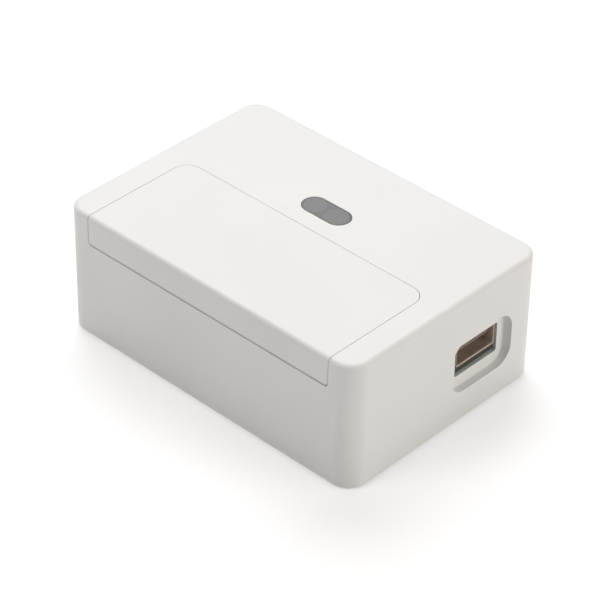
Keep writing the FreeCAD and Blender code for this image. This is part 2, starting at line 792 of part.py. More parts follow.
def make_base_cover():
    """The plate that closes the case from below, with collars, a locating lip and foot pockets."""
    base = Moulding("base_cover")
    outline = base.rounded("base outline", "XY_Plane", ("0", "0", "case_bottom"),
                           "case_length - 2 * (rim_wall + base_gap)",
                           "case_width - 2 * (rim_wall + base_gap)",
                           "corner_radius - rim_wall - base_gap")
    base.extrude(outline, "base_plate")
    inset = "(wall + base_lip_gap)"
    lip = base.rounded("locating lip", "XY_Plane", ("0", "0", "base_inside"),
                       f"case_length - 2 * {inset}", f"case_width - 2 * {inset}",
                       f"corner_radius - {inset}")
    base.extrude(lip, "base_lip_height")
    inner = "(wall + base_lip_gap + base_lip_width)"
    inside = base.rounded("inside of lip", "XY_Plane", ("0", "0", "base_inside"),
                          f"case_length - 2 * {inner}", f"case_width - 2 * {inner}",
                          f"corner_radius - {inner}")
    base.extrude(inside, "base_lip_height", cut=True, reverse=True)
    ribs = base.rectangles("stiffening ribs", "XY_Plane", ("0", "0", "base_inside"),
                           [("base_rib_end - boss_x", f"{y} - rib_width / 2",
                             "2 * (boss_x - base_rib_end)", "rib_width")
                            for y in ("-base_rib_pitch", "0", "base_rib_pitch")])
    base.extrude(ribs, "base_rib_rise")
    collars = base.circles("collars", "XY_Plane", ("0", "0", "base_inside"),
                           four_corners("boss_x", "boss_y"), "collar_radius")
    base.extrude(collars, "collar_height")
    for name, places, radius, depth in (
            ("screw holes", four_corners("boss_x", "boss_y"), "case_screw_radius + hole_gap",
             "base_plate + collar_height"),
            ("counterbores", four_corners("boss_x", "boss_y"), "case_head_radius + hole_gap",
             "case_head_height + case_head_set"),
            ("foot pockets", four_corners("foot_x", "foot_y"), "foot_radius + foot_gap",
             "foot_height - foot_stand")):
        holes = base.circles(name, "XY_Plane", ("0", "0", "case_bottom"), places, radius)
        base.extrude(holes, depth, cut=True, reverse=True)


def make_feet():
    """Round rubber feet, pressed into their pockets and a little proud of the base."""
    feet = []
    for x, y in four_corners("foot_x", "foot_y"):
        disc = cylinder("foot disc", (x, y, "0"), "foot_radius", "foot_height")
        feet.append(soften("Part::Chamfer", "foot", disc, "foot_edge", z=at("0")))
    group("rubber_feet", feet)


def make_screws():
    """Three sizes of pan-head screw, all driven from below."""
    case_screws = []
    for x, y in four_corners("boss_x", "boss_y"):
        case_screws.append(screw("case screw", x, y, "(case_bottom + case_head_set)", "case_head_radius",
                                 "case_head_height", "case_screw_radius", "case_screw_length"))
    group("housing_screws", case_screws)
    board_screws = []
    for x, y in board_post_places():
        board_screws.append(screw("board screw", x, y, "(board_under - board_head_height)",
                                  "board_head_radius", "board_head_height", "board_screw_radius",
                                  "board_screw_length"))
    group("main_board_screws", board_screws)
    lidar_screws = []
    for x in ("-lidar_post_x", "lidar_post_x"):
        lidar_screws.append(screw("lidar screw", f"window_x + ({x})", "lidar_board_y",
                                  "(lidar_board_under - lidar_head_height)", "lidar_head_radius",
                                  "lidar_head_height", "lidar_screw_radius", "lidar_screw_length"))
    group("lidar_board_screws", lidar_screws)


def make_window():
    """The window: a stadium that fills the aperture, on a flange that seats in the counterbore."""
    window = Moulding("sensor_window")
    flange = window.stadium("flange", "XY_Plane", ("window_x", "window_y", "roof_under"),
                            "window_length + 2 * flange_edge", "window_width + 2 * flange_edge")
    window.extrude(flange, "flange_plate")
    pane = window.stadium("pane", "XY_Plane", ("window_x", "window_y", "roof_under"),
                          "window_length - 2 * window_gap", "window_width - 2 * window_gap")
    window.extrude(pane, "roof - window_set")

    gasket = Moulding("window_gasket")
    ring = gasket.stadium("gasket outline", "XY_Plane", ("window_x", "window_y", "gasket_under"),
                          "window_length + 2 * gasket_edge", "window_width + 2 * gasket_edge")
    gasket.extrude(ring, "gasket_plate")
    for x, radius in (("emitter_x", "emitter_radius"), ("receiver_x", "receiver_radius")):
        gasket.rod("light hole", (f"window_x + {x}", "window_y", "gasket_under"),
                   f"{radius} + lens_gap", "gasket_plate", cut=True)


def make_lidar():
    """The ranging module with its two lenses, on a board of its own."""
    module = Moulding("lidar_module")
    package = module.rounded("package", "XY_Plane", ("window_x", "window_y", "lidar_board_top"),
                             "module_length", "module_width", "module_corner_radius")
    module.extrude(package, "module_height")
    for x, radius in (("emitter_x", "emitter_radius"), ("receiver_x", "receiver_radius")):
        module.rod("light well", (f"window_x + {x}", "window_y", "gasket_under - light_well"),
                   radius, "light_well", cut=True)
    lens("emitter_lens", "emitter_x", "emitter_radius")
    lens("receiver_lens", "receiver_x", "receiver_radius")

    blank = box("lidar board blank",
                ("window_x - lidar_board_length / 2", "lidar_board_y - lidar_board_width / 2",
                 "lidar_board_under"),
                ("lidar_board_length", "lidar_board_width", "lidar_board_plate"))
    holes = []
    for x in ("-lidar_post_x", "lidar_post_x"):
        holes.append(cylinder("lidar board hole", (f"window_x + ({x})", "lidar_board_y", "lidar_board_under"),
                              "lidar_screw_radius + hole_gap", "lidar_board_plate"))
    node(cut("lidar board", blank, holes), "lidar_board")


def lens(label, x, radius):
    """A flat-backed lens with a domed face, seated on the floor of its light well."""
    rim = f"{radius} - lens_gap / 2"
    foot = "gasket_under - light_well"
    drum = cylinder(label + " drum", (f"window_x + {x}", "window_y", foot), rim, "lens_depth")
    ball = doc.addObject("Part::Sphere", label + " ball")
    curve = f"(({rim}) * ({rim}) + lens_dome * lens_dome) / (2 * lens_dome)"
    bind(ball, Radius=curve)
    bind_place(ball, (f"window_x + {x}", "window_y", f"{foot} + lens_depth - ({curve})"))
    shape = doc.addObject("Part::Common", label)
    shape.Base = drum
    shape.Tool = ball
    node(shape, label)


def make_main_board():
    """The main board, notched round the screw bosses, with a nose that carries the receptacle."""
    plate = box("main board plate", ("board_left", "-board_width / 2", "board_under"),
                ("board_right - board_left", "board_width", "board_plate"))
    nose = box("main board nose", ("board_right", "shell_y - nose_width / 2", "board_under"),
               ("nose_length", "nose_width", "board_plate"))
    blank = fuse("main board blank", [plate, nose])
    clear = "(boss_radius + board_notch_gap)"
    left_notch = f"{clear} - boss_x - board_left"
    right_notch = f"board_right - boss_x + {clear}"
    notch_width = f"board_width / 2 - boss_y + {clear}"
    tools = []
    for x, length in (("board_left", left_notch), (f"board_right - ({right_notch})", right_notch)):
        for y in ("-board_width / 2", f"boss_y - {clear}"):
            tools.append(box("corner notch", (x, y, "board_under"), (length, notch_width, "board_plate")))
    for x, y in board_post_places():
        tools.append(cylinder("board hole", (x, y, "board_under"), "board_screw_radius + hole_gap",
                              "board_plate"))
    node(cut("main board", blank, tools), "main_board")


def make_board_parts():
    """What is soldered on the main board behind the well."""
    node(box("radio board", ("radio_x", "radio_y", "board_top"),
             ("radio_length", "radio_width", "radio_plate")), "radio_board")
    edge = "(radio_width - shield_width) / 2"
    can = box("shield blank",
              (f"radio_x + radio_length - shield_length - {edge}", f"radio_y + {edge}",
               "board_top + radio_plate"), ("shield_length", "shield_width", "shield_height"))
    shield_top = at("board_top + radio_plate + shield_height")
    node(soften("Part::Fillet", "shield", can, "shield_radius", z=shield_top),
         "radio_shield")
    node(box("processor",
             ("processor_x - processor_side / 2", "block_back + processor_back - processor_side / 2",
              "board_top"),
             ("processor_side", "processor_side", "processor_height")), "processor")
    choke = box("inductor blank",
                ("inductor_x - inductor_side / 2", "block_back + inductor_back - inductor_side / 2",
                 "board_top"),
                ("inductor_side", "inductor_side", "inductor_height"))
    node(soften("Part::Fillet", "inductor", choke, "inductor_radius", z=at("board_top + inductor_height")),
         "power_inductor")
    node(box("regulator",
             ("regulator_x - regulator_length / 2",
              "block_back + regulator_back - regulator_width / 2", "board_top"),
             ("regulator_length", "regulator_width", "regulator_height")), "power_regulator")
    cans = []
    for y in ("-capacitor_pitch / 2", "capacitor_pitch / 2"):
        foot = ("capacitor_x", f"block_back + capacitor_back + ({y})", "board_top")
        can = cylinder("capacitor can", foot, "capacitor_radius",
                       "capacitor_height")
        cans.append(soften("Part::Chamfer", "capacitor", can, "capacitor_edge",
                           z=at("board_top + capacitor_height")))
    group("power_capacitors", cans)


def make_port():
    """The receptacle: folded steel shell, moulded tongue and its four contacts."""
    shell = Moulding("usb_shell")
    middle = ("shell_y", "shell_z")
    bore_width = "shell_width - 2 * shell_plate"
    bore_height = "shell_height - 2 * shell_plate"
    tube = shell.rounded("tube", "YZ_Plane", ("shell_back", *middle), "shell_width", "shell_height",
                         "shell_radius")
    shell.extrude(tube, "shell_length")
    bore = shell.rounded("bore", "YZ_Plane", ("shell_back", *middle), bore_width, bore_height,
                         "shell_radius - shell_plate")
    shell.extrude(bore, "shell_length", cut=True, reverse=True)
    sides = (amount(f"shell_y - ({bore_width}) / 2"), amount(f"shell_y + ({bore_width}) / 2"))
    floor_and_roof = (amount(f"shell_z - ({bore_height}) / 2"), amount(f"shell_z + ({bore_height}) / 2"))
    shell.chamfer("lead-in", "shell_lead", x=at("shell_mouth"), y=sides, z=floor_and_roof)

    tongue = Moulding("usb_tongue")
    insulator = tongue.rounded("insulator", "YZ_Plane", ("shell_back", *middle),
                               f"{bore_width} - 2 * shell_gap", f"{bore_height} - 2 * shell_gap",
                               "shell_radius - shell_plate")
    tongue.extrude(insulator, "insulator_length")
    tongue.block("tongue plate", ("shell_back", "shell_y - tongue_width / 2", "tongue_under"),
                 ("shell_length - tongue_set", "tongue_width", "tongue_plate"))

    pins = []
    for y in ("-pin_outer", "-pin_inner", "pin_inner", "pin_outer"):
        pins.append(box("pin", ("shell_back + insulator_length", f"shell_y + ({y}) - pin_width / 2",
                                "tongue_under - pin_plate"), ("pin_length", "pin_width", "pin_plate")))
    group("usb_contacts", pins)


def make_ribbon():
    """The flat ribbon from the lidar board down to the main board, and its two sockets."""
    left = "window_x - ribbon_width / 2"
    half = "ribbon_plate / 2"
    bend_y = "ribbon_y - ribbon_bend"
    bend_z = "ribbon_z - ribbon_bend"
    run = box("ribbon run", (left, "upper_socket_back", f"ribbon_z - {half}"),
              ("ribbon_width", "ribbon_run", "ribbon_plate"))
    drop = box("ribbon drop", (left, f"ribbon_y - {half}", "lower_socket_top"),
               ("ribbon_width", "ribbon_plate", f"{bend_z} - lower_socket_top"))
    across = FreeCAD.Rotation(FreeCAD.Vector(0, 1, 0), FreeCAD.Vector(0, 0, 1), FreeCAD.Vector(1, 0, 0))
    quarters = []
    for name, radius in (("outer", f"ribbon_bend + {half}"), ("inner", f"ribbon_bend - {half}")):
        quarter = cylinder("ribbon bend " + name, (left, bend_y, bend_z), radius, "ribbon_width", angle=90)
        quarter.Placement.Rotation = across
        bind_place(quarter, (left, bend_y, bend_z))
        quarters.append(quarter)
    bend = cut("ribbon bend", quarters[0], [quarters[1]])
    node(fuse("ribbon", [run, bend, drop]), "sensor_ribbon")

    socket_left = "window_x - socket_length / 2"
    upper = box("upper socket", (socket_left, "upper_socket_back - socket_depth",
                                 "lidar_board_under - upper_socket_height"),
                ("socket_length", "socket_depth", "upper_socket_height"))
    lower = box("lower socket", (socket_left, "ribbon_y - socket_depth / 2", "board_top"),
                ("socket_length", "socket_depth", "lower_socket_height"))
    group("ribbon_sockets", [upper, lower])


def make_button():
    """The setup button in the bay, and the switch under it on the main board."""
    button = Moulding("setup_button")
    middle = ("button_x", "button_y")
    button.rod("cap", (*middle, "flange_top"), "button_radius", "bay_floor + button_rise - flange_top")
    button.rod("flange", (*middle, "flange_top - button_flange"), "button_flange_radius", "button_flange")
    button.rod("stem", (*middle, "plunger_top"), "button_stem_radius",
               "flange_top - button_flange - plunger_top")
    button.fillet("cap edge", "button_edge_radius", z=at("bay_floor + button_rise"))

    half = "switch_side / 2"
    blank = box("switch blank", (f"button_x - {half}", f"button_y - {half}", "board_top"),
                ("switch_side", "switch_side", "switch_height"))
    hollow = cylinder("switch hollow", (*middle, "switch_top - plunger_depth"),
                      "plunger_radius + plunger_gap", "plunger_depth")
    node(cut("switch", blank, [hollow]), "switch_base")
    plunger_foot = "switch_top - plunger_depth + plunger_room"
    node(cylinder("plunger", (*middle, plunger_foot), "plunger_radius", f"plunger_top - ({plunger_foot})"),
         "switch_plunger")


def make_cells():
    """Two cells side by side, end for end, with their contacts and conical springs."""
    nub = "cell_nub_height"
    barrel = "cell_length - cell_nub_height"
    front_left = "well_left + cell_room"
    cell("front_cell", "front_cell_y", f"{front_left} + {nub}", front_left, barrel)
    rear_left = "well_right - cell_room - cell_length"
    cell("rear_cell", "rear_cell_y", rear_left, f"{rear_left} + {barrel}", barrel)

    bridge = Moulding("bridge_contact")
    contact_pad(bridge, "front_cell_y", "well_left")
    contact_pad(bridge, "rear_cell_y", "well_left")
    bridge.block("strip", ("well_left", "front_cell_y", "cradle_z + tail_gap"),
                 ("contact_plate", "rear_cell_y - front_cell_y", "contact_height / 2 - 2 * tail_gap"))
    bridge.rod("dimple", ("well_left + contact_plate", "front_cell_y", "cell_z"), "dimple_radius",
               "dimple_height", plane="YZ_Plane")

    positive = Moulding("positive_contact")
    contact_pad(positive, "rear_cell_y", "well_right - contact_plate")
    positive.rod("dimple", ("well_right - contact_plate - dimple_height", "rear_cell_y", "cell_z"),
                 "dimple_radius", "dimple_height", plane="YZ_Plane")
    contact_tail(positive, "rear_cell_y")

    negative = Moulding("negative_contact")
    contact_pad(negative, "front_cell_y", "well_right - contact_plate")
    contact_tail(negative, "front_cell_y")

    right = coil("right spring", "well_right - contact_plate", "front_cell_y", -1)
    left = coil("left spring", "well_left + contact_plate", "rear_cell_y", 1)
    group("cell_springs", [right, left])


def cell(label, y, barrel_x, nub_x, barrel):
    """A round cell that lies along the well, with its positive nub at one end."""
    body = Moulding(label)
    body.rod("barrel", (barrel_x, y, "cell_z"), "cell_radius", barrel, plane="YZ_Plane")
    for end in (barrel_x, f"{barrel_x} + {barrel}"):
        body.chamfer("shoulder", "cell_edge", x=at(end))
    body.rod("nub", (nub_x, y, "cell_z"), "cell_nub_diameter / 2", "cell_nub_height", plane="YZ_Plane")


def contact_pad(body, y, x):
    body.block("pad", (x, f"{y} - contact_width / 2", "cell_z - contact_height / 2"),
               ("contact_plate", "contact_width", "contact_height"))


def contact_tail(body, y):
    """The narrow tail that runs through the floor of the well to the main board."""
    body.block("tail", ("well_right - contact_plate", f"{y} - tail_width / 2", "board_top"),
               ("contact_plate", "tail_width", "cell_z - board_top"))


def coil(name, x, y, side):
    """A conical spring of half rings, each tilted to climb by half a pitch and smaller than the last.

    Its wide end sits on a contact pad and its narrow end on a cell."""
    climb = "coil_height / coil_half_turns"
    rings = []
    for half in range(int(SIZES["coil_half_turns"])):
        wide, narrow = [f"coil_base_radius - (coil_base_radius - coil_tip_radius) * {step} / coil_half_turns"
                        for step in (half, half + 1)]
        turn = -1 if half % 2 else 1
        ring = doc.addObject("Part::Torus", name + " half ring")
        bind(ring, Radius1=f"sqrt(({wide} + {narrow}) ^ 2 + ({climb}) ^ 2) / 2", Radius2="coil_wire_radius")
        ring.Angle3 = 180
        start = FreeCAD.Vector(-side * amount(climb), 0, turn * amount(f"{wide} + {narrow}"))
        bulge = FreeCAD.Vector(0, turn, 0)
        ring.Placement.Rotation = FreeCAD.Rotation(start, bulge, start.cross(bulge), "XYZ")
        bind_place(ring, (f"{x} + ({side}) * (coil_wire_radius + {climb} * {half + 0.5})", y,
                          f"cell_z + ({turn}) * (({wide}) - ({narrow})) / 2"))
        rings.append(ring)
    return fuse(name, rings)


make_upper_housing()
make_access_cover()
make_base_cover()
make_feet()
make_screws()
make_window()
make_lidar()
make_main_board()
make_board_parts()
make_port()
make_ribbon()
make_button()
make_cells()
doc.recompute()

# Check every object and each sub-part's solid, then write the files
for item in doc.Objects:
    if "Invalid" in item.State or "Error" in item.State:
        raise RuntimeError(f"{item.Label} failed: {item.State}")
for label, item in NODES.items():
    if item.Shape.isNull() or not item.Shape.isValid() or not item.Shape.Solids:
        raise RuntimeError(f"{label} has no valid solid")

os.makedirs("parts", exist_ok=True)
for label, item in NODES.items():
    item.Shape.exportStep(f"parts/{label}.step")
    print(f"{label}: {len(item.Shape.Solids)} solids, {item.Shape.Volume:.1f} cubic mm")
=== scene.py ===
import math
import bmesh
import bpy
from mathutils import Matrix, Vector


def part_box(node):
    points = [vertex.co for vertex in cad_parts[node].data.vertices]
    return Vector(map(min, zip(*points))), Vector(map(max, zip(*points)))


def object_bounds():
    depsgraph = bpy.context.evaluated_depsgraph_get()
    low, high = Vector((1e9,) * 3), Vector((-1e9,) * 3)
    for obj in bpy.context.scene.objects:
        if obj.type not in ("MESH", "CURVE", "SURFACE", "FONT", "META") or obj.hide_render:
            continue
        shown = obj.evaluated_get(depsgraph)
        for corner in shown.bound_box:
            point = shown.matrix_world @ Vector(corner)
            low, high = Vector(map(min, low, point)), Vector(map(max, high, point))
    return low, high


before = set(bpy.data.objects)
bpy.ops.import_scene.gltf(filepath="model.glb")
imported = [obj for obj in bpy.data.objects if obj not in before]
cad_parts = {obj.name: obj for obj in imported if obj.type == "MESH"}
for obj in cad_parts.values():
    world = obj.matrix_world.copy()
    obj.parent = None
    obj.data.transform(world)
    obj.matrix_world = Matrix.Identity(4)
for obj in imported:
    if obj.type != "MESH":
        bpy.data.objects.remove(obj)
cad_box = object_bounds()

MM = 0.001
COVER_DROP = 7.7 * MM
COVER_CORNER = 4.0 * MM
COVER_LOW_CORNER = 1.0 * MM


def tone(red, green, blue):
    """A colour as read from a screen, 0 to 255, in the linear values that shaders take."""
    def linear(level):
        level = level / 255
        return level / 12.92 if level <= 0.04045 else ((level + 0.055) / 1.055) ** 2.4
    return (linear(red), linear(green), linear(blue), 1.0)


def middle(node):
    """The centre of a part's box, in metres."""
    low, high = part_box(node)
    return [(a + b) / 2 for a, b in zip(low, high)]


# Shader maths

class Value:
    """A number in a finish. Sums and products of values add their Math nodes."""

    def __init__(self, finish, socket):
        self.finish = finish
        self.socket = socket

    def __add__(self, other):
        return self.finish.maths("ADD", self, other)

    def __sub__(self, other):
        return self.finish.maths("SUBTRACT", self, other)

    def __rsub__(self, other):
        return self.finish.maths("SUBTRACT", other, self)

    def __mul__(self, other):
        return self.finish.maths("MULTIPLY", self, other)

    def __truediv__(self, other):
        return self.finish.maths("DIVIDE", self, other)

    def __lt__(self, other):
        return self.finish.maths("LESS_THAN", self, other)

    def __gt__(self, other):
        return self.finish.maths("GREATER_THAN", self, other)

    def __abs__(self):
        return self.finish.maths("ABSOLUTE", self)

    __radd__ = __add__
    __rmul__ = __mul__


class Finish:
    """A material laid out over the part's own coordinates, in metres."""

    def __init__(self, name):
        self.material = bpy.data.materials.new(name)
        self.material.use_nodes = True
        self.tree = self.material.node_tree
        self.tree.nodes.clear()
        self.place = self.node("ShaderNodeTexCoord", out="Object")
        self.x = self.node("ShaderNodeSeparateXYZ", inputs={"Vector": self.place}, out="X")
        self.y = Value(self, self.x.socket.node.outputs["Y"])
        self.z = Value(self, self.x.socket.node.outputs["Z"])

    def node(self, kind, settings=None, inputs=None, out=0):
        """Add a node: its settings first, then the values or links of its sockets."""
        item = self.tree.nodes.new(kind)
        for name, value in (settings or {}).items():
            if name == "stops":
                self.set_stops(item.color_ramp, value)
            else:
                setattr(item, name, value)
        for name, value in (inputs or {}).items():
            if isinstance(value, Value):
                self.tree.links.new(value.socket, item.inputs[name])
            else:
                item.inputs[name].default_value = value
        return Value(self, item.outputs[out])

    def set_stops(self, ramp, stops):
        while len(ramp.elements) < len(stops):
            ramp.elements.new(1.0)
        for element, (place, colour) in zip(ramp.elements, stops):
            element.position = place
            element.color = colour

    def maths(self, operation, *numbers):
        return self.node("ShaderNodeMath", {"operation": operation}, dict(enumerate(numbers)))

    def least(self, first, second):
        return self.maths("MINIMUM", first, second)

    def most(self, first, second):
        return self.maths("MAXIMUM", first, second)

    def root(self, number):
        return self.maths("SQRT", number)

    def ramp(self, number, low, high):
        """0 at low, 1 at high, smooth between."""
        settings = {"interpolation_type": "SMOOTHSTEP"}
        return self.node("ShaderNodeMapRange", settings, {0: number, 1: low, 2: high})

    def blend(self, share, first, second):
        """The first colour where share is 0, the second where it is 1."""
        return self.node("ShaderNodeMix", {"data_type": "RGBA"}, {0: share, 6: first, 7: second}, out=2)

    def stretched(self, x, y, z):
        return self.node("ShaderNodeVectorMath", {"operation": "MULTIPLY"},
                         {0: self.place, 1: (x, y, z)})

    def noise(self, scale, detail=2.0, roughness=0.5, place=None):
        return self.node("ShaderNodeTexNoise", None,
                         {"Vector": place or self.place, "Scale": scale, "Detail": detail,
                          "Roughness": roughness}, out="Fac")

    def cells(self, scale, feature="F1", place=None, out="Distance"):
        return self.node("ShaderNodeTexVoronoi", {"feature": feature},
                         {"Vector": place or self.place, "Scale": scale}, out=out)

    def ring(self, x, y):
        """Distance in metres from a vertical axis."""
        across = self.x - x
        along = self.y - y
        return self.root(across * across + along * along)

    def bump(self, height, distance, strength=1.0, under=None):
        inputs = {"Height": height, "Distance": distance, "Strength": strength}
        if under:
            inputs["Normal"] = under
        return self.node("ShaderNodeBump", None, inputs)

    def done(self, colour, roughness, normal=None, **constants):
        """Close the finish. Constants are set on the shader's own sockets."""
        inputs = {"Base Color": colour, "Roughness": roughness}
        if normal:
            inputs["Normal"] = normal
        for name, value in constants.items():
            inputs[name.replace("_", " ")] = value
        shader = self.node("ShaderNodeBsdfPrincipled", None, inputs)
        self.node_out(shader)
        return self.material

    def node_out(self, shader):
        output = self.tree.nodes.new("ShaderNodeOutputMaterial")
        self.tree.links.new(shader.socket, output.inputs["Surface"])


# Finishes

def seam_distance(finish):
    """Distance from the cover's outline: round corners on the top, small ones low on the front."""
    low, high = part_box("access_cover")
    middle_x = (low[0] + high[0]) / 2
    half = (high[0] - low[0]) / 2
    front_z = cad_box[1][2] - COVER_DROP

    def from_corner(past_side, past_end, radius):
        side = past_side + radius
        end = past_end + radius
        out_side = finish.most(side, 0.0)
        out_end = finish.most(end, 0.0)
        outside = finish.root(out_side * out_side + out_end * out_end)
        return outside + finish.least(finish.most(side, end), 0.0) - radius

    past_side = abs(finish.x - middle_x) - half
    on_top = from_corner(past_side, finish.y - high[1], COVER_CORNER)
    on_front = from_corner(past_side, front_z - finish.z, COVER_LOW_CORNER)
    return abs(finish.most(on_top, on_front))


def case_plastic(name, colour, shade):
    """White moulded plastic: spark-eroded grain, faint flow and sink, softened seams and edges, and a painted shadow
    along the gap under the cover's front lip.
    """
    finish = Finish(name)
    grain = finish.noise(3400, 3.0, 0.6)
    flow = finish.noise(26, 2.0)
    speck = finish.cells(1500)
    top = cad_box[1][2]
    end = cad_box[1][0]
    side = cad_box[1][1]
    near_top = finish.ramp(finish.z, top - 1.2 * MM, top - 0.2 * MM)
    near_end = finish.ramp(abs(finish.x), end - 1.4 * MM, end - 0.3 * MM)
    near_side = finish.ramp(abs(finish.y), side - 1.4 * MM, side - 0.3 * MM)
    edge = near_top * finish.most(near_end, near_side)
    tint = finish.blend(finish.ramp(flow, 0.35, 0.65), shade, colour)
    tint = finish.blend((speck < 0.1) * 0.15, tint, shade)
    seam = seam_distance(finish)
    low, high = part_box("access_cover")
    # Painted shadow: the plastic is darkened along the gap under the cover's front lip.
    from_lip = abs(finish.z - (top - COVER_DROP))
    beside_lip = finish.most(low[0] - finish.x, finish.x - high[0])
    painted_lip_shadow = (1 - finish.ramp(from_lip, 0.1 * MM, 0.45 * MM)) * (beside_lip < -0.3 * MM) * (finish.y < low[1] + MM)
    tint = finish.blend(painted_lip_shadow * 0.38, tint, tone(128, 128, 126))
    rough = 0.5 + (grain - 0.5) * 0.12 + (flow - 0.5) * 0.06 - edge * 0.08
    sink = finish.bump(flow, 0.05 * MM, 0.25)
    rounded = finish.bump(finish.ramp(seam, 0.0, 0.5 * MM), 0.07 * MM, 0.5, sink)
    normal = finish.bump(grain, 0.006 * MM, 0.5, rounded)
    return finish.done(tint, rough, normal, Specular_IOR_Level=0.45)


def foot_rubber():
    """Soft grey rubber with a dusty bloom and a fine pitted face."""
    finish = Finish("foot_rubber")
    pits = finish.cells(2600)
    dust = finish.noise(340, 4.0, 0.6)
    tint = finish.blend(finish.ramp(dust, 0.4, 0.7), tone(118, 118, 117), tone(150, 149, 146))
    normal = finish.bump(pits, 0.02 * MM, 0.5)
    return finish.done(tint, 0.78 + dust * 0.15, normal, Specular_IOR_Level=0.3)


def turned_steel(name, colour, dull, centres):
    """Zinc-plated screw steel with lathe rings about each screw's axis."""
    finish = Finish(name)
    radius = None
    for x, y in centres:
        ring = finish.ring(x, y)
        radius = ring if radius is None else finish.least(radius, ring)
    rings = finish.maths("SINE", radius * 24000)
    stain = finish.noise(700, 4.0, 0.6)
    tint = finish.blend(finish.ramp(stain, 0.4, 0.75), colour, dull)
    rough = 0.3 + stain * 0.18 + rings * 0.03
    normal = finish.bump(rings + stain, 0.004 * MM, 0.4)
    return finish.done(tint, rough, normal, Metallic=1.0)


def brushed_metal(name, colour, dull, direction, rough=0.28):
    """Sheet metal with rolling lines along one direction."""
    finish = Finish(name)
    lines = finish.noise(1.0, 3.0, 0.7, finish.stretched(*direction))
    stain = finish.noise(420, 3.0)
    tint = finish.blend(finish.ramp(stain, 0.35, 0.75), colour, dull)
    normal = finish.bump(lines, 0.003 * MM, 0.5)
    return finish.done(tint, rough + lines * 0.14, normal, Metallic=1.0)


def window_plastic():
    """Smoked window: lens wells show faintly through it, and its edge is darker."""
    finish = Finish("window_plastic")
    x, y, _ = middle("sensor_window")
    low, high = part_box("emitter_lens")
    emitter = (low[0] + high[0]) / 2
    low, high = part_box("receiver_lens")
    receiver = (low[0] + high[0]) / 2
    half_width = 3.13 * MM
    straight = 3.65 * MM
    past = finish.most(abs(finish.x - x) - straight, 0.0)
    across = finish.y - y
    from_middle = finish.root(past * past + across * across)
    rim = finish.ramp(from_middle, half_width - 0.55 * MM, half_width - 0.05 * MM)
    left_disc = 1 - finish.ramp(finish.ring(emitter, y), 2.7 * MM, 3.1 * MM)
    right_disc = 1 - finish.ramp(finish.ring(receiver, y), 2.7 * MM, 3.1 * MM)
    haze = finish.noise(260, 2.0)
    tint = finish.blend(finish.most(left_disc, right_disc), tone(103, 103, 106), tone(112, 112, 114))
    tint = finish.blend(left_disc * 0.5, tint, tone(116, 116, 118))
    tint = finish.blend(rim * 0.85, tint, tone(70, 70, 73))
    tint = finish.blend(finish.ramp(haze, 0.35, 0.65) * 0.03, tint, tone(150, 150, 150))
    normal = finish.bump(haze, 0.004 * MM, 0.2)
    return finish.done(tint, 0.24 + haze * 0.04, normal, Specular_IOR_Level=0.2)


def dark_moulding(name, colour, shade, grain_size=2800, rough=0.55):
    """Dark moulded plastic with a fine matt grain and lighter scuffs."""
    finish = Finish(name)
    grain = finish.noise(grain_size, 3.0, 0.6)
    scuff = finish.noise(160, 5.0, 0.7)
    tint = finish.blend(finish.ramp(scuff, 0.5, 0.8), colour, shade)
    normal = finish.bump(grain, 0.01 * MM, 0.5)
    return finish.done(tint, rough + grain * 0.12, normal, Specular_IOR_Level=0.4)


def gasket_foam():
    """Black closed-cell foam."""
    finish = Finish("gasket_foam")
    bubbles = finish.cells(3200)
    coarse = finish.cells(1300, "SMOOTH_F1")
    tint = finish.blend(finish.ramp(bubbles, 0.1, 0.6), tone(20, 20, 21), tone(46, 46, 47))
    normal = finish.bump(bubbles + coarse, 0.03 * MM, 0.8)
    return finish.done(tint, 0.92, normal, Specular_IOR_Level=0.2)


def lens_glass():
    """Coated lens glass: clear, with a faint violet bloom and a little dust."""
    finish = Finish("lens_glass")
    dust = finish.noise(2600, 2.0)
    bloom = finish.noise(240, 2.0)
    tint = finish.blend(finish.ramp(bloom, 0.3, 0.7), tone(178, 190, 214), tone(196, 178, 214))
    normal = finish.bump(dust, 0.001 * MM, 0.2)
    return finish.done(tint, 0.03 + (dust > 0.68) * 0.2, normal, Transmission_Weight=0.85, IOR=1.52)


